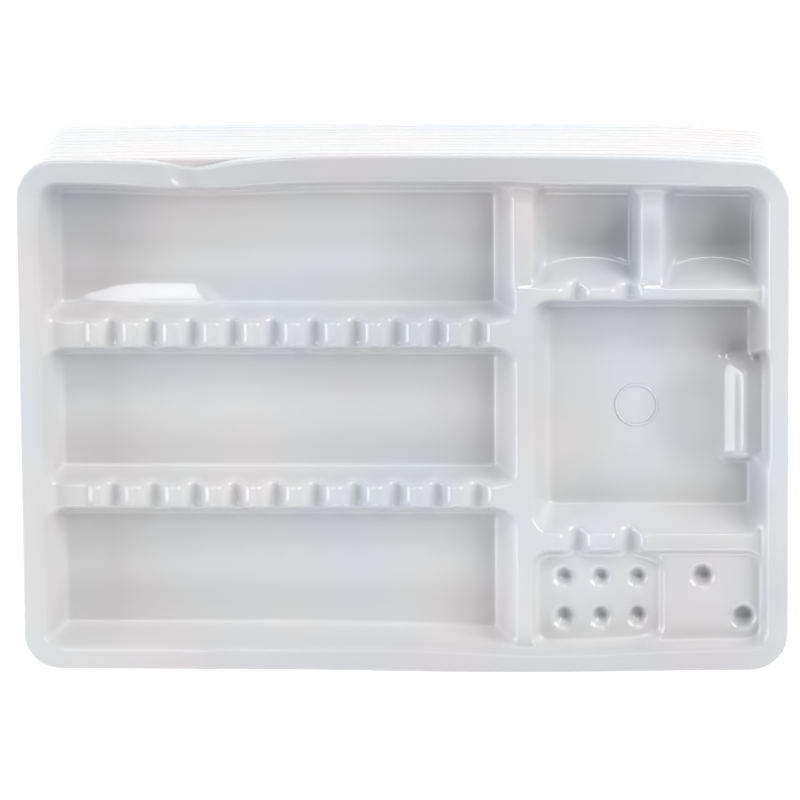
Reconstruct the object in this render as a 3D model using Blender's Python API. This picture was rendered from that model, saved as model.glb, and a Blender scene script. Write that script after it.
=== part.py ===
"""A stack of identical mixing palettes: thin vacuum-formed compartment trays, nested rim over rim.

Every tray is one formed sheet. Its shape is the rim cap joined with the outer skins of all its
hollows, less the air inside those hollows, so each hollow is made twice: once as the air in it, and
once grown by the sheet's thickness. The top tray also carries the fittings that are formed into its
dividers and panels; the trays under it are plain, because those fittings are shallower than the
step from one tray to the next.
"""

import math

import bmesh
import bpy
from mathutils import Matrix, Vector

# Driving dimensions, in metres. A tray's own frame has its centre on the Z axis, its long side
# along X, and z = 0 at the underside of its floors.
TRAY_COUNT = 12
NEST_PITCH = 0.0060
SHEET = 0.0006
TRAY_LENGTH = 0.2800
TRAY_WIDTH = 0.1880
TRAY_DEPTH = 0.0190

# Heights of the surfaces that a hand would touch.
FLOOR = SHEET
RIM_TOP = FLOOR + TRAY_DEPTH
DIVIDER_TOP = RIM_TOP - 0.0040
SHELF_TOP = RIM_TOP - 0.0058
HIGH_PANEL = RIM_TOP - 0.0062
NOTCH_FLOOR = RIM_TOP - 0.0085
LOW_PANEL = RIM_TOP - 0.0092

# The air forms end above the rim, and the skin forms halfway into the sheet that they join.
AIR_TOP = RIM_TOP + 0.0010
SKIN_TOP = DIVIDER_TOP - SHEET / 2
FITTING_SKIN_TOP = SKIN_TOP - 0.0001

WALL_DRAFT = math.radians(17)
SKIRT_DRAFT = math.radians(13)
NOTCH_DRAFT = math.radians(31)
DIMPLE_DRAFT = math.radians(22)
CORNER_STEPS = 2
RIM_CORNER_STEPS = 3

RIM_CORNER = 0.0140
SKIRT_DROP = 0.0052

# The basin is the shallow recess inside the rim. A hair-thin ledge runs round its floor, outside
# the compartments.
BASIN_HALF_X = 0.1321
BASIN_HALF_Y = 0.0858
BASIN_CORNER = 0.0070
LEDGE = 0.00025
BASIN_INSET = (RIM_TOP - DIVIDER_TOP) * math.tan(WALL_DRAFT) + LEDGE
OUTER_X = BASIN_HALF_X - BASIN_INSET
OUTER_Y = BASIN_HALF_Y - BASIN_INSET

# Compartment edges at the height of the dividers, from the front (-Y) to the back.
COMPARTMENT_CORNER = 0.0055
DIVIDER_LEFT = 0.0408
DIVIDER_RIGHT = 0.0464
LOWER_RIDGE = (-0.0340, -0.0256)
UPPER_RIDGE = (0.0258, 0.0354)
LOWER_CROSSBAR = (-0.0503, -0.0439)
UPPER_CROSSBAR = (0.0431, 0.0476)
WELL_SPLIT = (0.0867, 0.0932)
PANEL_SPLIT = 0.0935
PANEL_OVERLAP = 0.0140
SHELF_OVERLAP = 0.0100

# Notches that hold handles and brushes.
NOTCH_WIDTH = 0.0090
NOTCH_OVERRUN = 0.0026
RIDGE_NOTCHES = 10
RIDGE_NOTCH_START = -0.1065
RIDGE_NOTCH_PITCH = 0.01472
CROSSBAR_NOTCHES = (0.0623, 0.0814)
RIDGE_END = (-0.1283, -0.1152)
RIDGE_END_OVERRUN = 0.0060

# Pin holes in the two panels.
DIMPLE_SIDES = 6
LOW_DIMPLE_RADIUS = 0.0035
LOW_DIMPLE_DEPTH = 0.0036
LOW_DIMPLE_X = (0.0579, 0.0713, 0.0848)
LOW_DIMPLE_Y = (-0.0610, -0.0751)
HIGH_DIMPLE_RADIUS = 0.0042
HIGH_DIMPLE_DEPTH = 0.0044
HIGH_DIMPLES = ((0.1085, -0.0599), (0.1235, -0.0752))

# Half-round rest formed into the large compartment, against its outer wall.
REST_CENTRE_X = 0.1230
REST_CENTRE_Z = FLOOR - 0.0028
REST_RADIUS = 0.0106
REST_SPAN_Y = (-0.0190, 0.0168)
REST_SIDES = 16


def new_object(name, bm, collection):
    """Puts the bmesh into a new object in the collection, with its faces pointing out."""
    bmesh.ops.recalc_face_normals(bm, faces=bm.faces)
    mesh = bpy.data.meshes.new(name)
    bm.to_mesh(mesh)
    bm.free()
    obj = bpy.data.objects.new(name, mesh)
    collection.objects.link(obj)
    return obj


def drafted_block(
    name, x_edges, y_edges, level, bottom, top, collection,
    grow=0.0, draft=WALL_DRAFT, corner=COMPARTMENT_CORNER, steps=CORNER_STEPS,
):
    """A rounded block with leaning sides.

    x_edges and y_edges bound it at the height level, and each side leans outward by draft on the
    way up. grow pushes the sides and the bottom out by that much, and leaves the top.
    """
    lean = math.tan(draft)
    base = bottom - grow
    spread = grow / math.cos(draft)
    base_offset = spread + (base - level) * lean
    top_offset = spread + (top - level) * lean
    x0, x1 = x_edges
    y0, y1 = y_edges
    bm = bmesh.new()
    bmesh.ops.create_grid(bm, x_segments=1, y_segments=1, size=0.5)
    for vert in bm.verts:
        vert.co.x = (x0 + x1) / 2 + vert.co.x * (x1 - x0 + 2 * base_offset)
        vert.co.y = (y0 + y1) / 2 + vert.co.y * (y1 - y0 + 2 * base_offset)
        vert.co.z = base
    bmesh.ops.bevel(
        bm,
        geom=list(bm.verts),
        offset=corner + base_offset,
        segments=steps,
        profile=0.5,
        affect="VERTICES",
    )
    extruded = bmesh.ops.extrude_face_region(bm, geom=list(bm.faces))["geom"]
    for vert in (item for item in extruded if isinstance(item, bmesh.types.BMVert)):
        arc_x = min(max(vert.co.x, x0 + corner), x1 - corner)
        arc_y = min(max(vert.co.y, y0 + corner), y1 - corner)
        arc_centre = Vector((arc_x, arc_y, base))
        vert.co = arc_centre + (vert.co - arc_centre).normalized() * (corner + top_offset)
        vert.co.z = top
    return new_object(name, bm, collection)


def notch(name, x, divider, collection, grow):
    """A trough across a divider, open at both ends, with leaning flanks."""
    wall_run = (DIVIDER_TOP - NOTCH_FLOOR) * math.tan(WALL_DRAFT)
    reach = wall_run + NOTCH_OVERRUN
    base = NOTCH_FLOOR - grow
    top = FITTING_SKIN_TOP if grow else AIR_TOP
    half_width = NOTCH_WIDTH / 2 + grow / math.cos(NOTCH_DRAFT)
    bm = bmesh.new()
    bmesh.ops.create_cube(bm, size=1.0)
    for vert in bm.verts:
        side = math.copysign(1.0, vert.co.x)
        vert.co.z = top if vert.co.z > 0 else base
        vert.co.x = x + side * (half_width + (vert.co.z - DIVIDER_TOP) * math.tan(NOTCH_DRAFT))
        vert.co.y = divider[1] + reach if vert.co.y > 0 else divider[0] - reach
    return new_object(name, bm, collection)


def dimple(name, x, y, panel, radius, depth, collection, grow):
    """A conical hole for a pin, its mouth in the panel at the given height."""
    lean = math.tan(DIMPLE_DRAFT)
    spread = grow / math.cos(DIMPLE_DRAFT)
    base = panel - depth - grow
    top = panel - SHEET / 2 if grow else panel + 0.0012
    bm = bmesh.new()
    bmesh.ops.create_cone(
        bm,
        cap_ends=True,
        segments=DIMPLE_SIDES,
        radius1=radius + spread + (base - panel) * lean,
        radius2=radius + spread + (top - panel) * lean,
        depth=top - base,
        matrix=Matrix.Translation((x, y, (top + base) / 2)),
    )
    return new_object(name, bm, collection)


def boolean(obj, operation, other):
    """Adds an exact Boolean with one object, or with all the objects of a collection."""
    modifier = obj.modifiers.new(operation.lower() + "_" + other.name, "BOOLEAN")
    modifier.operation = operation
    modifier.solver = "EXACT"
    if isinstance(other, bpy.types.Collection):
        modifier.operand_type = "COLLECTION"
        modifier.collection = other
    else:
        modifier.object = other


def compartment_forms(collection, grow):
    """The basin inside the rim, the channels and wells, the two panels and the wells' shelf."""
    kind = "skin" if grow else "air"
    drafted_block(
        f"basin_{kind}",
        (-BASIN_HALF_X, BASIN_HALF_X),
        (-BASIN_HALF_Y, BASIN_HALF_Y),
        RIM_TOP,
        DIVIDER_TOP,
        RIM_TOP - SHEET / 2 if grow else AIR_TOP,
        collection,
        grow=grow,
        corner=BASIN_CORNER,
    )
    half_ledge = LEDGE / 2
    channel_x = (-OUTER_X, DIVIDER_LEFT)
    left_well_x = (DIVIDER_RIGHT, WELL_SPLIT[0])
    right_well_x = (WELL_SPLIT[1], OUTER_X)
    back_well_y = (UPPER_CROSSBAR[1], OUTER_Y)
    shelf_x = (DIVIDER_LEFT - SHELF_OVERLAP, OUTER_X + half_ledge)
    shelf_y = (UPPER_CROSSBAR[1] - half_ledge, OUTER_Y + half_ledge)
    low_panel_y = (-OUTER_Y, LOWER_CROSSBAR[0])
    high_panel_x = (PANEL_SPLIT - PANEL_OVERLAP, OUTER_X)
    high_panel_y = (-OUTER_Y - half_ledge, LOWER_CROSSBAR[0] + half_ledge)
    hollows = (
        ("upper_channel", channel_x, (UPPER_RIDGE[1], OUTER_Y), FLOOR),
        ("middle_channel", channel_x, (LOWER_RIDGE[1], UPPER_RIDGE[0]), FLOOR),
        ("lower_channel", channel_x, (-OUTER_Y, LOWER_RIDGE[0]), FLOOR),
        ("left_well", left_well_x, back_well_y, FLOOR),
        ("right_well", right_well_x, back_well_y, FLOOR),
        ("large_well", (DIVIDER_RIGHT, OUTER_X), (LOWER_CROSSBAR[1], UPPER_CROSSBAR[0]), FLOOR),
        ("low_panel", (DIVIDER_RIGHT, PANEL_SPLIT), low_panel_y, LOW_PANEL),
        ("high_panel", high_panel_x, high_panel_y, HIGH_PANEL),
        ("well_shelf", shelf_x, shelf_y, SHELF_TOP),
    )
    top = SKIN_TOP if grow else AIR_TOP
    for name, x_edges, y_edges, bottom in hollows:
        drafted_block(
            f"{name}_{kind}", x_edges, y_edges, DIVIDER_TOP, bottom, top, collection, grow=grow
        )


def fitting_forms(collection, grow):
    """The notches in the dividers, the lowered left ends of the ridges and the pin holes."""
    kind = "skin" if grow else "air"
    top = FITTING_SKIN_TOP if grow else AIR_TOP
    ridge_notch_x = [RIDGE_NOTCH_START + n * RIDGE_NOTCH_PITCH for n in range(RIDGE_NOTCHES)]
    notched_dividers = (
        ("lower_ridge", LOWER_RIDGE, ridge_notch_x),
        ("upper_ridge", UPPER_RIDGE, ridge_notch_x),
        ("lower_crossbar", LOWER_CROSSBAR, CROSSBAR_NOTCHES),
        ("upper_crossbar", UPPER_CROSSBAR, CROSSBAR_NOTCHES),
    )
    for divider_name, divider, places in notched_dividers:
        for number, x in enumerate(places):
            notch(f"{divider_name}_notch_{number}_{kind}", x, divider, collection, grow)
    for ridge_name, ridge in (("lower_ridge", LOWER_RIDGE), ("upper_ridge", UPPER_RIDGE)):
        drafted_block(
            f"{ridge_name}_end_{kind}",
            RIDGE_END,
            (ridge[0] - RIDGE_END_OVERRUN, ridge[1] + RIDGE_END_OVERRUN),
            SHELF_TOP,
            SHELF_TOP,
            top,
            collection,
            grow=grow,
            draft=NOTCH_DRAFT,
            steps=1,
        )
    for y in LOW_DIMPLE_Y:
        for x in LOW_DIMPLE_X:
            dimple(
                f"low_dimple_{kind}", x, y, LOW_PANEL,
                LOW_DIMPLE_RADIUS, LOW_DIMPLE_DEPTH, collection, grow,
            )
    for x, y in HIGH_DIMPLES:
        dimple(
            f"high_dimple_{kind}", x, y, HIGH_PANEL,
            HIGH_DIMPLE_RADIUS, HIGH_DIMPLE_DEPTH, collection, grow,
        )


def half_round_rest(name, bottom, collection, shrink=0.0):
    """A lying cylinder, cut to length by a block with leaning ends that starts at bottom."""
    ends = drafted_block(
        name + "_ends",
        (REST_CENTRE_X - 2 * REST_RADIUS, REST_CENTRE_X + 2 * REST_RADIUS),
        REST_SPAN_Y,
        FLOOR,
        bottom,
        FLOOR + REST_RADIUS + 0.002,
        collection,
        grow=-shrink,
        draft=-WALL_DRAFT,
        steps=1,
    )
    lying = Matrix.Translation((REST_CENTRE_X, 0.0, REST_CENTRE_Z)) @ Matrix.Rotation(math.pi / 2, 4, "X")
    bm = bmesh.new()
    bmesh.ops.create_cone(
        bm,
        cap_ends=True,
        segments=REST_SIDES,
        radius1=REST_RADIUS - shrink,
        radius2=REST_RADIUS - shrink,
        depth=2 * (REST_SPAN_Y[1] - REST_SPAN_Y[0]),
        matrix=lying,
    )
    rest = new_object(name, bm, collection)
    boolean(rest, "INTERSECT", ends)
    return rest


def rim_cap(name, collection):
    """The rim with its turned-down skirt: a leaning block, less the same block inside the sheet."""
    half_x = TRAY_LENGTH / 2
    half_y = TRAY_WIDTH / 2
    skirt_foot = RIM_TOP - SKIRT_DROP

    def leaning_block(part_name, inset, bottom, top):
        return drafted_block(
            part_name,
            (-half_x + inset, half_x - inset),
            (-half_y + inset, half_y - inset),
            skirt_foot,
            bottom,
            top,
            collection,
            draft=-SKIRT_DRAFT,
            corner=RIM_CORNER - inset,
            steps=RIM_CORNER_STEPS,
        )

    cap = leaning_block(name, 0.0, skirt_foot, RIM_TOP)
    inset = SHEET / math.cos(SKIRT_DRAFT)
    inside = leaning_block(name + "_inside", inset, skirt_foot - 0.003, RIM_TOP - SHEET)
    boolean(cap, "DIFFERENCE", inside)
    return cap


def polystyrene():
    """Glossy white polystyrene, very slightly grey."""
    material = bpy.data.materials.new("white_polystyrene")
    material.use_nodes = True
    shader = material.node_tree.nodes["Principled BSDF"]
    shader.inputs["Base Color"].default_value = (0.80, 0.80, 0.82, 1.0)
    shader.inputs["Roughness"].default_value = 0.18
    shader.inputs["Metallic"].default_value = 0.0
    material.diffuse_color = (0.80, 0.80, 0.82, 1.0)
    return material


def new_collection(name, parent):
    collection = bpy.data.collections.new(name)
    parent.children.link(collection)
    return collection


def formed_mesh(cap, material):
    """The finished shell that the cap's Booleans leave, shaded smooth with sharp edges."""
    graph = bpy.context.evaluated_depsgraph_get()
    mesh = bpy.data.meshes.new_from_object(cap.evaluated_get(graph))
    mesh.name = cap.name + "_shell"
    mesh.materials.clear()
    mesh.materials.append(material)
    mesh.shade_smooth()
    mesh.set_sharp_from_angle(angle=math.radians(35))
    return mesh


def tray_meshes(forms, material):
    """The plain shell of the nested trays and the full shell of the top one."""
    air = new_collection("compartment_air", forms)
    skin = new_collection("compartment_skin", forms)
    fitting_air = new_collection("fitting_air", forms)
    fitting_skin = new_collection("fitting_skin", forms)
    blanks = new_collection("blanks", forms)
    compartment_forms(air, 0.0)
    compartment_forms(skin, SHEET)
    fitting_forms(fitting_air, 0.0)
    fitting_forms(fitting_skin, SHEET)
    rest = half_round_rest("rest", FLOOR - SHEET / 2, blanks)
    boolean(rest, "INTERSECT", skin.objects["large_well_skin"])
    rest_hollow = half_round_rest("rest_hollow", FLOOR - 0.006, blanks, shrink=SHEET)

    plain = rim_cap("plain", blanks)
    boolean(plain, "UNION", skin)
    boolean(plain, "DIFFERENCE", air)
    full = rim_cap("full", blanks)
    boolean(full, "UNION", skin)
    boolean(full, "UNION", fitting_skin)
    boolean(full, "DIFFERENCE", air)
    boolean(full, "DIFFERENCE", fitting_air)
    boolean(full, "UNION", rest)
    boolean(full, "DIFFERENCE", rest_hollow)
    for form in forms.all_objects:
        form.hide_render = True
        form.display_type = "WIRE"
    return formed_mesh(plain, material), formed_mesh(full, material)


for old in list(bpy.data.objects):
    bpy.data.objects.remove(old, do_unlink=True)

palette_stack = new_collection("mixing_palette_stack", bpy.context.scene.collection)
forming_shapes = new_collection("forming_shapes", bpy.context.scene.collection)
plain_shell, full_shell = tray_meshes(forming_shapes, polystyrene())
tray_names = ["bottom_tray"]
tray_names += [f"tray_{number:02d}" for number in range(2, TRAY_COUNT)]
tray_names += ["top_tray"]
for step, tray_name in enumerate(tray_names):
    tray = bpy.data.objects.new(tray_name, full_shell if tray_name == "top_tray" else plain_shell)
    tray.location.z = step * NEST_PITCH
    palette_stack.objects.link(tray)
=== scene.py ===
"""The looks of a stack of twelve nested mixing palettes, vacuum-formed from glossy white sheet."""

import math

import bpy
import numpy as np
from mathutils import Matrix, Vector


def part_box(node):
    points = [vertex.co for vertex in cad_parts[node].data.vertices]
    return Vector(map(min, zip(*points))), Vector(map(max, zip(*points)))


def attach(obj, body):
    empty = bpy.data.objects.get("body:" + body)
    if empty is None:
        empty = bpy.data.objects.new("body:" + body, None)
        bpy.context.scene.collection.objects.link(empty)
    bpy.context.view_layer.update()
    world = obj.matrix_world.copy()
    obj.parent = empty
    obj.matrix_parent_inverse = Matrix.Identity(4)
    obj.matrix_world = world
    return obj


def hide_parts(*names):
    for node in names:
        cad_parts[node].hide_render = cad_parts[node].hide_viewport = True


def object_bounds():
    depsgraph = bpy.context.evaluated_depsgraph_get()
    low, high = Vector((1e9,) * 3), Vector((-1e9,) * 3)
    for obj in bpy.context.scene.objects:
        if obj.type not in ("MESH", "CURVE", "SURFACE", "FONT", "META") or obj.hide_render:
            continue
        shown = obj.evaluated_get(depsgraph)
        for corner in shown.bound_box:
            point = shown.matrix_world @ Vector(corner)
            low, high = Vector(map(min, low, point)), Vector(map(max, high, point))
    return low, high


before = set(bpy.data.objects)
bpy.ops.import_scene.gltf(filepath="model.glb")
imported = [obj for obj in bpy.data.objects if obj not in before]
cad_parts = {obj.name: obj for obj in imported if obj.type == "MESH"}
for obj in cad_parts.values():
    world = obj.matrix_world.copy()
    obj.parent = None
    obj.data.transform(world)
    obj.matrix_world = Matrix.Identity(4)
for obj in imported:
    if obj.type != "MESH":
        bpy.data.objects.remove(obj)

cad_low, cad_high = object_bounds()
MM = 0.001

# ---------------------------------------------------------------------------------------------
# Camera. It hangs over the back edge of the stack and looks down at the top tray, so the rims
# of the trays below show as fine lines behind the far edge. +Y points up in the picture.
# ---------------------------------------------------------------------------------------------
TILT = math.radians(12.35)
YAW = math.radians(2.1)
CAMERA_DISTANCE = 2.623
PICTURE_SCALE = 2.757
PICTURE_SIDE = 800

rim_height = cad_high.z
aim = Vector((-1.16 * MM, 7.2 * MM, rim_height))
toward_camera = Vector((math.sin(YAW), math.sin(TILT), math.cos(TILT))).normalized()
picture_right = Vector((1.0, 0.0, 0.0))
picture_up = toward_camera.cross(picture_right).normalized()
picture_right = picture_up.cross(toward_camera)
turn = Matrix((picture_right, picture_up, toward_camera)).transposed().to_4x4()

camera_data = bpy.data.cameras.new("camera")
camera_data.sensor_width = 36.0
camera_data.lens = 36.0 * PICTURE_SCALE * CAMERA_DISTANCE / MM / PICTURE_SIDE
camera_data.clip_start = 0.05
camera_data.clip_end = 50.0
camera = bpy.data.objects.new("camera", camera_data)
camera.matrix_world = Matrix.Translation(aim + toward_camera * CAMERA_DISTANCE) @ turn
bpy.context.scene.collection.objects.link(camera)
bpy.context.scene.camera = camera
bpy.context.scene.view_settings.view_transform = "Standard"

# ---------------------------------------------------------------------------------------------
# Top tray. One sheet of glossy white polystyrene, 0.6 mm thick, drawn into a mould in one shot:
# three channels, two small wells, a large well with a half-round rest, and two panels with
# holes for pins. It carries the mould's notches and the dents of a tray that has been handled.
# ---------------------------------------------------------------------------------------------
tray_low, tray_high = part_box("top_tray")
SHEET = 0.6 * MM
FLOOR = SHEET
RIM_TOP = tray_high.z - tray_low.z
DIVIDER_TOP = RIM_TOP - 4.0 * MM
SHELF_TOP = RIM_TOP - 5.8 * MM
HIGH_PANEL = RIM_TOP - 6.2 * MM
NOTCH_FLOOR = RIM_TOP - 9.2 * MM
LOW_PANEL = RIM_TOP - 9.2 * MM
CORNER_DEPTH = 22.9 * MM

# How far the walls lean from the vertical, in degrees: left, right, front and back.
OUTER_LEANS = (19.5, 18.5, 16, 16)
CHANNEL_LEANS = (19.5, 27, 13, 16)
LARGE_WELL_LEANS = (21.5, 18.5, 28, 15)
LOW_PANEL_LEANS = (17, 38, 16, 18)
HIGH_PANEL_LEANS = (17, 18.5, 16, 17)
BASIN_HALF_X = 132.1 * MM
BASIN_HALF_Y = 85.8 * MM
LEFT, RIGHT, FRONT, BACK = (
    sign * (half - (RIM_TOP - DIVIDER_TOP) * math.tan(math.radians(lean)))
    for sign, half, lean in zip((-1, 1, -1, 1), (BASIN_HALF_X,) * 2 + (BASIN_HALF_Y,) * 2, OUTER_LEANS)
)
CHANNEL_X = (LEFT, 40.8 * MM)
WELLS_LEFT = 46.4 * MM
LOWER_RIDGE = (-34.0 * MM, -25.6 * MM)
UPPER_RIDGE = (25.8 * MM, 35.4 * MM)
LOWER_CROSSBAR = (-50.3 * MM, -43.9 * MM)
UPPER_CROSSBAR = (43.1 * MM, 47.6 * MM)
WELL_SPLIT = (86.7 * MM, 93.2 * MM)
PANEL_STEP = 96.6 * MM

NOTCH_HALF_WIDTH = 5.2 * MM
NOTCH_ROUNDING = 3.4 * MM
RIDGE_NOTCHES = -106.5 * MM + 14.72 * MM * np.arange(10)
CROSSBAR_NOTCHES = (62.3 * MM, 81.4 * MM)
RIDGE_END = (-128.3 * MM, -115.2 * MM)
LOW_HOLES = [(x * MM, y * MM) for x in (57.9, 71.3, 84.8) for y in (-61.0, -75.1)]
HIGH_HOLES = [(108.5 * MM, -59.9 * MM), (123.5 * MM, -75.2 * MM)]
LOW_HOLE_RADIUS = 3.5 * MM
LOW_HOLE_DEPTH = 3.6 * MM
HIGH_HOLE_RADIUS = 4.2 * MM
HIGH_HOLE_DEPTH = 4.4 * MM
MOULD_STEP = 0.25 * MM
MOULD_ROUNDING = 0.75 * MM
PATCH_HALF_X = 134.0 * MM
PATCH_HALF_Y = 88.0 * MM


def smooth_step(value, start, end):
    """0 before start and 1 after end, with the cubic 3t^2 - 2t^3 between them."""
    t = np.clip((value - start) / (end - start), 0, 1)
    return t * t * (3 - 2 * t)


def pocket(x, y, x_edges, y_edges, floor, leans=OUTER_LEANS, level=DIVIDER_TOP):
    """Height of a hollow. Its depth grows from each side as the way in over the tangent of the lean.
    The shallower side counts, with rounded corners where two sides meet, down to the floor."""
    left, right, front, back = (math.tan(math.radians(lean)) for lean in leans)
    size = CORNER_DEPTH - (RIM_TOP - level)
    depth_x = np.minimum((x - x_edges[0]) / left, (x_edges[1] - x) / right)
    depth_y = np.minimum((y - y_edges[0]) / front, (y_edges[1] - y) / back)
    short = np.hypot(np.maximum(size - depth_x, 0), np.maximum(size - depth_y, 0))
    depth = size - short + np.maximum(np.minimum(depth_x, depth_y) - size, 0)
    return np.maximum(level - depth, floor)


BOWL_RISE = 2.6 * MM
BOWL_POWER = 2.6
SCOOP_RUN_AT_SIDES = 3.6 * MM
SCOOP_RUN_GAIN = 6.4 * MM


def small_well(x, y, x_edges):
    """A hollow whose floor is a shallow bowl, a sum of two powers of the way to the walls, and whose
    front wall is a scoop: its run grows from the sides to the middle as a flattened arch."""
    y_edges = (UPPER_CROSSBAR[1], BACK)
    across = np.abs(2 * x - sum(x_edges)) / (x_edges[1] - x_edges[0])
    along = np.abs(2 * y - sum(y_edges)) / (y_edges[1] - y_edges[0])
    bowl = FLOOR + BOWL_RISE * (across ** BOWL_POWER + along ** BOWL_POWER)
    run = SCOOP_RUN_AT_SIDES + SCOOP_RUN_GAIN * np.sqrt(1 - np.minimum(across / 0.92, 1) ** 2.2)
    left_over = np.clip(1 - (y - y_edges[0]) / run, 0, 2)
    scoop = FLOOR + (DIVIDER_TOP - FLOOR) * left_over ** 1.4
    walls = pocket(x, y, x_edges, y_edges, FLOOR, leans=(17, 17, 12, 16))
    return np.maximum(walls, np.where(walls < DIVIDER_TOP, np.maximum(bowl, scoop), scoop))


def notched(x, y, height, places, divider):
    """The height, cut down to rounded troughs across a divider: each is a hyperbola in x."""
    reach = (divider[1] - divider[0]) / 2 + 4 * MM
    slope = (DIVIDER_TOP - NOTCH_FLOOR) / (math.hypot(NOTCH_HALF_WIDTH, NOTCH_ROUNDING) - NOTCH_ROUNDING)
    for place in places:
        trough = NOTCH_FLOOR + slope * (np.hypot(x - place, NOTCH_ROUNDING) - NOTCH_ROUNDING)
        near = np.abs(y - sum(divider) / 2) < reach
        height = np.where(near, np.minimum(height, trough), height)
    return height


def hole(x, y, place, panel, radius, depth):
    """A conical pin hole: the distance from its axis over the tangent of 22 degrees, down to a flat
    bottom."""
    away = np.hypot(x - place[0], y - place[1])
    return np.maximum(panel + (away - radius) / math.tan(math.radians(22)), panel - depth)


REST_FOOT = 112.1 * MM
REST_CREST = 124.0 * MM
REST_HEIGHT = 8.0 * MM
REST_ENDS = (-16.8 * MM, 14.6 * MM)
REST_END_LEANS = (14, 35)
REST_FALL = 0.34


def half_round_rest(x, y):
    """A crest along Y. It climbs from the floor as a power of the way, falls in a straight line to the
    wall behind it, and its ends lean, the back one more."""
    climb = np.clip((x - REST_FOOT) / (REST_CREST - REST_FOOT), 0, 1) ** 1.7
    fall = REST_FALL * np.maximum(x - REST_CREST, 0)
    front_end = (REST_ENDS[0] - y) / math.tan(math.radians(REST_END_LEANS[0]))
    back_end = (y - REST_ENDS[1]) / math.tan(math.radians(REST_END_LEANS[1]))
    top = REST_HEIGHT - fall - np.maximum(np.maximum(back_end, front_end), 0)
    return FLOOR + np.minimum(REST_HEIGHT * climb - fall, top)


def tray_relief(x, y):
    """Height of a tray's upper face over its floors' underside: the lowest of the flat rim and of all
    the pockets, then the notches and holes, and then what stands up from the floors."""
    height = np.minimum(RIM_TOP, pocket(
        x, y, (-BASIN_HALF_X, BASIN_HALF_X), (-BASIN_HALF_Y, BASIN_HALF_Y), DIVIDER_TOP, level=RIM_TOP
    ))
    recess = ((112 * MM, RIGHT + 1.4 * MM), (-19 * MM, 26 * MM), FLOOR, (30, 6, 16, 24))
    flat_pockets = (
        (CHANNEL_X, (UPPER_RIDGE[1], BACK), FLOOR, CHANNEL_LEANS),
        (CHANNEL_X, (LOWER_RIDGE[1], UPPER_RIDGE[0]), FLOOR, CHANNEL_LEANS),
        (CHANNEL_X, (FRONT, LOWER_RIDGE[0]), FLOOR, CHANNEL_LEANS),
        ((WELLS_LEFT, RIGHT), (LOWER_CROSSBAR[1], UPPER_CROSSBAR[0]), FLOOR, LARGE_WELL_LEANS),
        ((WELLS_LEFT, PANEL_STEP), (FRONT, LOWER_CROSSBAR[0]), LOW_PANEL, LOW_PANEL_LEANS),
        ((PANEL_STEP - 15 * MM, RIGHT), (FRONT, LOWER_CROSSBAR[0]), HIGH_PANEL, HIGH_PANEL_LEANS),
        ((CHANNEL_X[1] - 10 * MM, RIGHT), (UPPER_CROSSBAR[1], BACK), SHELF_TOP, OUTER_LEANS),
    )
    for x_edges, y_edges, floor, leans in (*flat_pockets, recess):
        height = np.minimum(height, pocket(x, y, x_edges, y_edges, floor, leans))
    height = np.minimum(height, small_well(x, y, (WELLS_LEFT, WELL_SPLIT[0])))
    height = np.minimum(height, small_well(x, y, (WELL_SPLIT[1], RIGHT)))
    for ridge in (LOWER_RIDGE, UPPER_RIDGE):
        height = notched(x, y, height, RIDGE_NOTCHES, ridge)
        beyond = np.maximum(x - RIDGE_END[1], RIDGE_END[0] - x).clip(0)
        lowered_end = SHELF_TOP + beyond / math.tan(math.radians(33))
        near = np.abs(y - sum(ridge) / 2) < (ridge[1] - ridge[0]) / 2 + 4 * MM
        height = np.where(near, np.minimum(height, lowered_end), height)
    for crossbar in (LOWER_CROSSBAR, UPPER_CROSSBAR):
        height = notched(x, y, height, CROSSBAR_NOTCHES, crossbar)
    for place in LOW_HOLES:
        height = np.minimum(height, hole(x, y, place, LOW_PANEL, LOW_HOLE_RADIUS, LOW_HOLE_DEPTH))
    for place in HIGH_HOLES:
        height = np.minimum(height, hole(x, y, place, HIGH_PANEL, HIGH_HOLE_RADIUS, HIGH_HOLE_DEPTH))
    return np.maximum(height, half_round_rest(x, y))


def rounded(height, sigma):
    """The height field after a Gaussian average along both directions, which rounds every edge."""
    reach = int(math.ceil(3 * sigma))
    taps = np.exp(-0.5 * (np.arange(-reach, reach + 1) / sigma) ** 2)
    taps /= taps.sum()
    for axis in (0, 1):
        padded = np.pad(height, [(reach, reach) if a == axis else (0, 0) for a in (0, 1)], "edge")
        length = height.shape[axis]
        parts = [np.take(padded, range(k, k + length), axis) * tap for k, tap in enumerate(taps)]
        height = np.sum(parts, axis=0)
    return height


def mould(flaws=None):
    """The raster of a tray's upper face, with flaws(x, y) added before its edges are rounded."""
    x = np.arange(-PATCH_HALF_X, PATCH_HALF_X + MOULD_STEP / 2, MOULD_STEP)
    y = np.arange(-PATCH_HALF_Y, PATCH_HALF_Y + MOULD_STEP / 2, MOULD_STEP)
    grid_x, grid_y = np.meshgrid(x, y)
    height = tray_relief(grid_x, grid_y)
    if flaws:
        height = height + flaws(grid_x, grid_y)
    return x, y, rounded(height, MOULD_ROUNDING / MOULD_STEP)


def busy_lines(height, axis, count):
    """Indices of count grid lines, close together where the surface bends across them: equal steps
    of the running total of the mean and peak second difference."""
    bend = np.abs(np.diff(height, 2, axis=axis)) / MM
    mean = bend.mean(1 - axis)
    peak = np.quantile(bend, 0.98, axis=1 - axis)
    weight = 0.16 + np.sqrt(mean / mean.max()) + 0.5 * np.sqrt(peak / peak.max())
    weight = np.convolve(weight, np.ones(5) / 5, "same")
    total = np.concatenate([[0], np.cumsum(weight)])
    targets = np.linspace(0, total[-1], count)
    lines = np.interp(targets, total, np.arange(len(total)))
    last = height.shape[axis] - 1
    return np.unique(np.clip(np.rint(lines * last / (len(total) - 1)), 0, last).astype(int))


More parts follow.
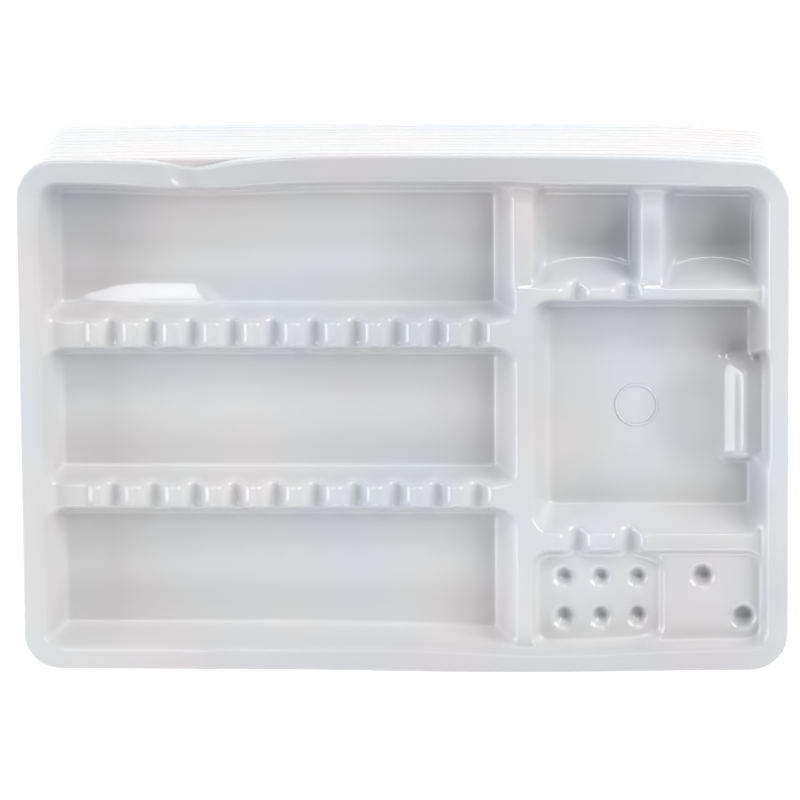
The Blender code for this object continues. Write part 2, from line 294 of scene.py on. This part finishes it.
def vertex_normals(points, quads):
    """Unit normals at the points, from the cross products of the quads' diagonals."""
    corner = points[quads]
    facing = np.cross(corner[:, 2] - corner[:, 0], corner[:, 3] - corner[:, 1])
    total = np.zeros_like(points)
    for axis in range(3):
        for side in range(4):
            total[:, axis] += np.bincount(quads[:, side], facing[:, axis], len(points))
    return total / np.linalg.norm(total, axis=1, keepdims=True)


RIM_CORNER = 14.0 * MM
SKIRT_DROP = 5.2 * MM
SKIRT_LEAN = math.radians(4)
EDGE_ROUNDING = 1.0 * MM


def rim_profile():
    """(distance out from the corner centres, height) of the rings outside the central patch: the
    flat rim, a rounded edge, and the steep skirt that leans out a little to its foot."""
    skirt_top = RIM_CORNER - SKIRT_DROP * math.tan(SKIRT_LEAN)
    turn_end = math.pi / 2 - SKIRT_LEAN
    edge_start = skirt_top - EDGE_ROUNDING * math.tan(turn_end / 2)
    turns = np.linspace(0, turn_end, 6)
    distance = edge_start + EDGE_ROUNDING * np.sin(turns)
    height = RIM_TOP - EDGE_ROUNDING * (1 - np.cos(turns))
    falls = np.linspace(0, 1, 5)[1:]
    foot = RIM_TOP - SKIRT_DROP
    skirt = distance[-1] + (RIM_CORNER - distance[-1]) * falls
    skirt_height = height[-1] + (foot - height[-1]) * falls
    return np.concatenate([distance, skirt]), np.concatenate([height, skirt_height])


def upper_face(x, y, height):
    """Points and quads of a tray's upper face: the central patch on its grid lines, and rings that
    leave its border along the normals of a rounded rectangle."""
    columns, rows = len(x), len(y)
    grid_x, grid_y = np.meshgrid(x, y)
    patch = np.stack([grid_x, grid_y, height], -1).reshape(-1, 3)
    index = np.arange(rows * columns).reshape(rows, columns)
    quads = np.stack([index[:-1, :-1], index[:-1, 1:], index[1:, 1:], index[1:, :-1]], -1).reshape(-1, 4)
    border = np.concatenate([index[0, :-1], index[:-1, -1], index[-1, :0:-1], index[:0:-1, 0]])
    start = patch[border, :2]
    core = np.array([tray_high.x - RIM_CORNER, tray_high.y - RIM_CORNER])
    centre = np.clip(start, -core, core)
    away = start - centre
    reach = np.linalg.norm(away, axis=1, keepdims=True)
    outward = away / reach
    distance, level = rim_profile()
    rings = []
    for share in (0.35, 0.7):
        rings.append((centre + outward * (reach + (distance[0] - reach) * share), RIM_TOP))
    for ring_distance, ring_level in zip(distance, level):
        rings.append((centre + outward * ring_distance, ring_level))
    around = len(border)
    ring_points = [np.column_stack([place, np.full(around, z)]) for place, z in rings]
    points = np.concatenate([patch, *ring_points])
    inner = border
    following = np.roll(np.arange(around), -1)
    parts = [quads]
    for number in range(len(rings)):
        outer = rows * columns + number * around + np.arange(around)
        parts.append(np.stack([inner, outer, outer[following], inner[following]], -1))
        inner = outer
    return points, np.concatenate(parts), inner


def tray_object(name, raster, counts, base, shape):
    """A closed tray: its upper face after shape(points), the same face moved in by the sheet's
    thickness along its normals, and a strip that closes the foot of the skirt."""
    x, y, height = raster
    columns = busy_lines(height, 1, counts[0])
    rows = busy_lines(height, 0, counts[1])
    points, quads, foot = upper_face(x[columns], y[rows], height[np.ix_(rows, columns)])
    points = shape(points)
    under = points - SHEET * vertex_normals(points, quads)
    total = len(points)
    closing = np.stack([foot, foot + total, np.roll(foot, -1) + total, np.roll(foot, -1)], -1)
    faces = np.concatenate([quads, quads[:, ::-1] + total, closing])
    vertices = np.concatenate([points, under])
    vertices[:, 2] += base
    mesh = bpy.data.meshes.new(name)
    mesh.vertices.add(len(vertices))
    mesh.vertices.foreach_set("co", vertices.astype(np.float32).ravel())
    mesh.loops.add(faces.size)
    mesh.loops.foreach_set("vertex_index", faces.astype(np.int32).ravel())
    mesh.polygons.add(len(faces))
    mesh.polygons.foreach_set("loop_start", np.arange(0, faces.size, 4, dtype=np.int32))
    mesh.update(calc_edges=True)
    mesh.validate()
    mesh.shade_smooth()
    tray = bpy.data.objects.new(name, mesh)
    bpy.context.scene.collection.objects.link(tray)
    return tray


def gentle_waves(x, y, seed, length):
    """A sum of six sine waves whose directions and phases come from the seed, about 1 at most."""
    rng = np.random.default_rng(seed)
    total = 0.0
    for _ in range(6):
        heading = rng.uniform(0, math.pi)
        stretch = length * rng.uniform(0.7, 1.5)
        phase = rng.uniform(0, 2 * math.pi)
        along = x * math.cos(heading) + y * math.sin(heading)
        total = total + np.sin(2 * math.pi * along / stretch + phase)
    return total / 4


def crowned(points, spread):
    """The long sides bow outwards. The bow of the rim's inner edge and that of its outer edge are each
    a function of x, mixed by the way across the rim, and they fade towards the middle of the tray.
    spread is how far the back rim reaches out at its middle, in millimetres."""
    x, y = points[:, 0] / MM, points[:, 1] / MM
    inner_back = 1.3 - 0.9 * smooth_step(x, 36, 56) - 0.9 * smooth_step(x, 70, 128)
    outer_back = spread * (1 - 0.45 * (x / 127) ** 2) - 1.2 * smooth_step(x, 90, 130)
    inner_front = 2.4 * np.exp(-(((x - 52) / 40) ** 2))
    outer_front = 1.2 * np.exp(-(((x - 38) / 62) ** 2))
    mix = np.clip((np.abs(y) - 86) / 7, 0, 1)
    back = inner_back * (1 - mix) + outer_back * mix
    front = inner_front * (1 - mix) + outer_front * mix
    points = points.copy()
    points[:, 1] += np.where(y > 0, back, -front) * MM * smooth_step(np.abs(y), 64, 84)
    return points


def top_tray_flaws(x, y):
    """Height added to the mould's face: faint waves in the floors, a swelling at the foot of the upper
    ridge, and a dent beside the rest's back end. The swelling is a plane that slopes down by 17 degrees
    over a width that grows along x, cut off at its right end by another. The dent is a Gaussian."""
    added = 0.05 * MM * gentle_waves(x, y, 3, 45 * MM)
    width = np.interp(x / MM, (-122.1, -116.6, -110.0, -104.0, -97.0), (0.5, 2.6, 4.8, 6.4, 7.3))
    facet = np.clip(40.4 + width - y / MM, 0, width) * math.tan(math.radians(17))
    before_end = -0.60 * (x / MM + 66.0) - 0.80 * (y / MM - 40.4)
    swelling = np.clip(np.minimum(facet, 0.8 * before_end), 0, None)
    added += np.where((y > 38.0 * MM) & (y < 60 * MM), swelling * MM, 0)
    dent = np.exp(-(((x - 123 * MM) / (7 * MM)) ** 2) - ((y - 25 * MM) / (6 * MM)) ** 2)
    added -= 1.4 * MM * dent
    return added


def top_tray_shape(points):
    """The bow of the long sides, a place where the back rim is pushed in, its fold, three smaller
    folds, and slight waves of the rim. Each dent and fold is a Gaussian of x that fades in across the
    rim."""
    points = crowned(points, 3.3)
    x, y = points[:, 0] / MM, points[:, 1] / MM
    back, front = smooth_step(y, 74, 86), smooth_step(-y, 82, 87)
    outer = smooth_step(y, 87, 93)
    points[:, 1] -= 2.2 * MM * np.exp(-(((x + 74) / 27) ** 2)) * back
    points[:, 1] -= 2.0 * MM * np.exp(-(((x + 75) / 9) ** 2)) * outer
    on_rim = smooth_step(y, 82, 87)
    small_folds = np.exp(-(((x - 104) / 2) ** 2)) + np.exp(-(((x - 120) / 2) ** 2))
    fold = -2.3 * np.exp(-(((x + 76 + 0.5 * (y - 86)) / (4.2 + 2.0 * outer)) ** 2)) * on_rim
    fold -= 0.7 * small_folds * on_rim
    fold += 0.7 * np.exp(-(((x + 73) / 4.5) ** 2)) * front
    points[:, 2] += 1.1 * MM * fold
    edge = smooth_step(np.abs(y), 80, 88)
    points[:, 2] += 0.25 * MM * gentle_waves(x * MM, y * MM, 8, 90 * MM) * edge
    return points


def polystyrene(name, tint_seed, painted_shade_places=()):
    """Glossy white sheet: a pale grey with faint pink and blue clouds, and a thin, uneven gloss. It also
    carries painted shade: the colour darkens smoothly towards each listed place, given as (x, y, height,
    reach, share of the darkening, stretch along x), in metres."""
    material = bpy.data.materials.new(name)
    material.use_nodes = True
    nodes, links = material.node_tree.nodes, material.node_tree.links
    shader = nodes["Principled BSDF"]
    shader.inputs["IOR"].default_value = 1.52
    place = nodes.new("ShaderNodeTexCoord")
    shift = nodes.new("ShaderNodeMapping")
    shift.inputs["Location"].default_value = (tint_seed, 0.3 * tint_seed, 0.0)
    links.new(place.outputs["Object"], shift.inputs["Vector"])

    def noise(scale, detail):
        node = nodes.new("ShaderNodeTexNoise")
        node.inputs["Scale"].default_value = scale
        node.inputs["Detail"].default_value = detail
        links.new(shift.outputs["Vector"], node.inputs["Vector"])
        return node

    clouds = noise(16.0, 1.0)
    tint = nodes.new("ShaderNodeValToRGB")
    tint.color_ramp.elements[0].position = 0.30
    tint.color_ramp.elements[0].color = (0.575, 0.592, 0.634, 1)
    tint.color_ramp.elements[1].position = 0.72
    tint.color_ramp.elements[1].color = (0.634, 0.600, 0.612, 1)
    middle = tint.color_ramp.elements.new(0.5)
    middle.color = (0.600, 0.602, 0.608, 1)
    links.new(clouds.outputs["Fac"], tint.inputs["Fac"])
    colour = tint.outputs["Color"]
    # Painted shade: near each place the colour is mixed towards a dark blue-grey.
    for x, y, height, reach, share, stretch in painted_shade_places:
        squeezed = nodes.new("ShaderNodeVectorMath")
        squeezed.operation = "MULTIPLY"
        squeezed.inputs[1].default_value = (1 / stretch, 1, 1)
        links.new(place.outputs["Object"], squeezed.inputs[0])
        away = nodes.new("ShaderNodeVectorMath")
        away.operation = "DISTANCE"
        away.inputs[1].default_value = (x / stretch, y, height)
        links.new(squeezed.outputs["Vector"], away.inputs[0])
        amount = nodes.new("ShaderNodeMapRange")
        amount.interpolation_type = "SMOOTHSTEP"
        amount.inputs["From Min"].default_value = reach
        amount.inputs["From Max"].default_value = 0.35 * reach
        amount.inputs["To Max"].default_value = share
        links.new(away.outputs["Value"], amount.inputs["Value"])
        darken = nodes.new("ShaderNodeMix")
        darken.data_type = "RGBA"
        darken.inputs["B"].default_value = (0.25, 0.26, 0.30, 1)
        links.new(amount.outputs["Result"], darken.inputs["Factor"])
        links.new(colour, darken.inputs["A"])
        colour = darken.outputs["Result"]
    links.new(colour, shader.inputs["Base Color"])
    gloss = noise(45.0, 3.0)
    spread = nodes.new("ShaderNodeMapRange")
    spread.inputs["To Min"].default_value = 0.09
    spread.inputs["To Max"].default_value = 0.16
    links.new(gloss.outputs["Fac"], spread.inputs["Value"])
    links.new(spread.outputs["Result"], shader.inputs["Roughness"])
    orange_peel = noise(260.0, 2.0)
    bump = nodes.new("ShaderNodeBump")
    bump.inputs["Strength"].default_value = 0.07
    bump.inputs["Distance"].default_value = 0.0002
    links.new(orange_peel.outputs["Fac"], bump.inputs["Height"])
    links.new(bump.outputs["Normal"], shader.inputs["Normal"])
    return material


top_tray = tray_object("top_tray_sheet", mould(top_tray_flaws), (236, 158), tray_low.z, top_tray_shape)
FLOOR_LEVEL = tray_low.z + FLOOR
# Painted shade: dark spots in the top tray's colour on the floors of the wells and channels, in the pin
# holes, and along the back and front rims, where they stand for shade.
PAINTED_SHADE_PLACES = (
    (74 * MM, 66 * MM, FLOOR_LEVEL, 26 * MM, 0.24, 1.0),
    (81 * MM, 62 * MM, FLOOR_LEVEL, 16 * MM, 0.26, 1.0),
    (112 * MM, 66 * MM, FLOOR_LEVEL, 26 * MM, 0.26, 1.0),
    (121 * MM, 62 * MM, FLOOR_LEVEL, 17 * MM, 0.26, 1.0),
    (122 * MM, 32 * MM, FLOOR_LEVEL, 26 * MM, 0.28, 1.0),
    (106 * MM, 30 * MM, FLOOR_LEVEL, 34 * MM, 0.15, 1.0),
    (108 * MM, -3 * MM, FLOOR_LEVEL, 26 * MM, 0.28, 1.0),
    (129 * MM, -30 * MM, FLOOR_LEVEL + 8 * MM, 17 * MM, 0.30, 0.6),
    (90 * MM, 66 * MM, tray_high.z + 2 * MM, 15 * MM, 0.34, 0.5),
    (108 * MM, -66 * MM, tray_high.z + 2 * MM, 44 * MM, 0.16, 1.2),
    (22 * MM, 64 * MM, FLOOR_LEVEL, 42 * MM, 0.20, 1.0),
    (10 * MM, 10 * MM, FLOOR_LEVEL, 60 * MM, 0.14, 1.3),
    (-116 * MM, 66 * MM, FLOOR_LEVEL, 36 * MM, 0.16, 1.0),
    (0 * MM, 93 * MM, tray_high.z + 9 * MM, 22 * MM, 0.32, 10.0),
    (20 * MM, -93 * MM, tray_high.z + 9 * MM, 22 * MM, 0.20, 10.0),
    *((x, y, tray_low.z + LOW_PANEL - 3.0 * MM, 4.5 * MM, 0.25, 1.0) for x, y in LOW_HOLES),
    *((x, y, tray_low.z + HIGH_PANEL - 3.5 * MM, 5.3 * MM, 0.30, 1.0) for x, y in HIGH_HOLES),
)
top_tray.data.materials.append(polystyrene("white_polystyrene_top", 0.0, PAINTED_SHADE_PLACES))
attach(top_tray, "top_tray")
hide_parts("top_tray")

# A plain raised ring in the floor of the large well, set half into the sheet.
RING_CENTRE = (84.4 * MM, 1.2 * MM)
RING_RADIUS = 7.5 * MM
RING_SECTION = 0.42 * MM
RING_STEPS, SECTION_STEPS = 96, 12
around, section = np.meshgrid(
    2 * math.pi * np.arange(RING_STEPS) / RING_STEPS,
    2 * math.pi * np.arange(SECTION_STEPS) / SECTION_STEPS,
    indexing="ij",
)
away = RING_RADIUS + RING_SECTION * np.cos(section)
ring_points = np.stack([
    RING_CENTRE[0] + away * np.cos(around),
    RING_CENTRE[1] + away * np.sin(around),
    FLOOR_LEVEL + RING_SECTION * np.sin(section),
], -1).reshape(-1, 3)
index = np.arange(RING_STEPS * SECTION_STEPS).reshape(RING_STEPS, SECTION_STEPS)
following, next_section = np.roll(index, -1, 0), np.roll(index, -1, 1)
ring_faces = np.stack([index, following, np.roll(following, -1, 1), next_section], -1).reshape(-1, 4)
ring_mesh = bpy.data.meshes.new("top_tray_ring")
ring_mesh.from_pydata(ring_points.tolist(), [], ring_faces.tolist())
ring_mesh.shade_smooth()
ring_mesh.materials.append(top_tray.data.materials[0])
ring = bpy.data.objects.new("top_tray_ring", ring_mesh)
bpy.context.scene.collection.objects.link(ring)
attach(ring, "top_tray")

# ---------------------------------------------------------------------------------------------
# Nested trays. Eleven more sheets from the same mould, each resting in the one below it. Only
# their rims and skirts show while the stack is closed, and each sits a hair out of line.
# ---------------------------------------------------------------------------------------------
nested_material = polystyrene("white_polystyrene_nested", 0.4)
nested_raster = mould()
nested_names = [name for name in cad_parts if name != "top_tray"]


def nested_shape(seed):
    """A shape that adds the crown, a small sideways slip and slight waves of the rim."""
    rng = np.random.default_rng(seed)
    slip = rng.uniform(-0.2 * MM, 0.2 * MM, 2)

    def shape(points):
        points = crowned(points, 2.2)
        rim = smooth_step(np.abs(points[:, 1]), 82 * MM, 90 * MM)
        points[:, 2] += 0.15 * MM * gentle_waves(points[:, 0], points[:, 1], seed, 80 * MM) * rim
        points[:, :2] += slip
        return points

    return shape


for number, name in enumerate(sorted(nested_names)):
    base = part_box(name)[0].z
    tray = tray_object(name + "_sheet", nested_raster, (150, 100), base, nested_shape(20 + number))
    tray.data.materials.append(nested_material)
    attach(tray, name)
    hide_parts(name)

# ---------------------------------------------------------------------------------------------
# Floor. A white sweep, lit so brightly that it has almost no tone of its own.
# ---------------------------------------------------------------------------------------------
FLOOR_HALF = 4.0
floor_mesh = bpy.data.meshes.new("floor")
floor_mesh.from_pydata(
    [(sx * FLOOR_HALF, sy * FLOOR_HALF, cad_low.z) for sx, sy in ((-1, -1), (1, -1), (1, 1), (-1, 1))],
    [],
    [(0, 1, 2, 3)],
)
floor = bpy.data.objects.new("floor", floor_mesh)
bpy.context.scene.collection.objects.link(floor)
floor_material = bpy.data.materials.new("white_floor")
floor_material.use_nodes = True
floor_shader = floor_material.node_tree.nodes["Principled BSDF"]
floor_shader.inputs["Base Color"].default_value = (0.68, 0.68, 0.68, 1)
floor_shader.inputs["Roughness"].default_value = 0.9
floor_shader.inputs["Emission Color"].default_value = (1, 1, 1, 1)
floor_shader.inputs["Emission Strength"].default_value = 0.55
floor_mesh.materials.append(floor_material)

# ---------------------------------------------------------------------------------------------
# Light. A white room, soft lights from all four sides, the left one low, and a smaller bright one
# overhead, which the gloss of the sheet shows as crisp highlights.
# ---------------------------------------------------------------------------------------------
WORLD_STRENGTH = 0.27
world = bpy.data.worlds.new("white_room")
world.use_nodes = True
world.node_tree.nodes["Background"].inputs["Color"].default_value = (1.0, 1.0, 0.95, 1)
world.node_tree.nodes["Background"].inputs["Strength"].default_value = WORLD_STRENGTH
bpy.context.scene.world = world


def soft_light(name, place, size, radiance, colour):
    """A rectangular light at place that faces the stack. Its power is radiance times pi times area."""
    data = bpy.data.lights.new(name, "AREA")
    data.shape = "RECTANGLE"
    data.size, data.size_y = size
    data.energy = radiance * math.pi * size[0] * size[1]
    data.color = colour
    light = bpy.data.objects.new(name, data)
    place = Vector(place)
    light.location = place
    light.rotation_euler = (place - Vector((0, 0, rim_height))).to_track_quat("Z", "Y").to_euler()
    bpy.context.scene.collection.objects.link(light)


soft_light("back_light", (0.0, 2.4, 1.6), (2.4, 0.4), 8.4, (1.0, 1.0, 1.0))
soft_light("right_light", (1.3, 0.6, 0.95), (1.1, 0.9), 6.5, (1.0, 1.0, 0.98))
soft_light("left_light", (-1.5, 0.1, 0.5), (1.2, 1.0), 5.4, (0.95, 0.97, 1.0))
soft_light("front_light", (0.1, -0.9, 0.62), (1.4, 0.5), 3.0, (0.97, 0.98, 1.0))
soft_light("window_light", (-0.33, 0.62, 1.5), (0.48, 0.28), 7.0, (0.92, 0.95, 1.0))
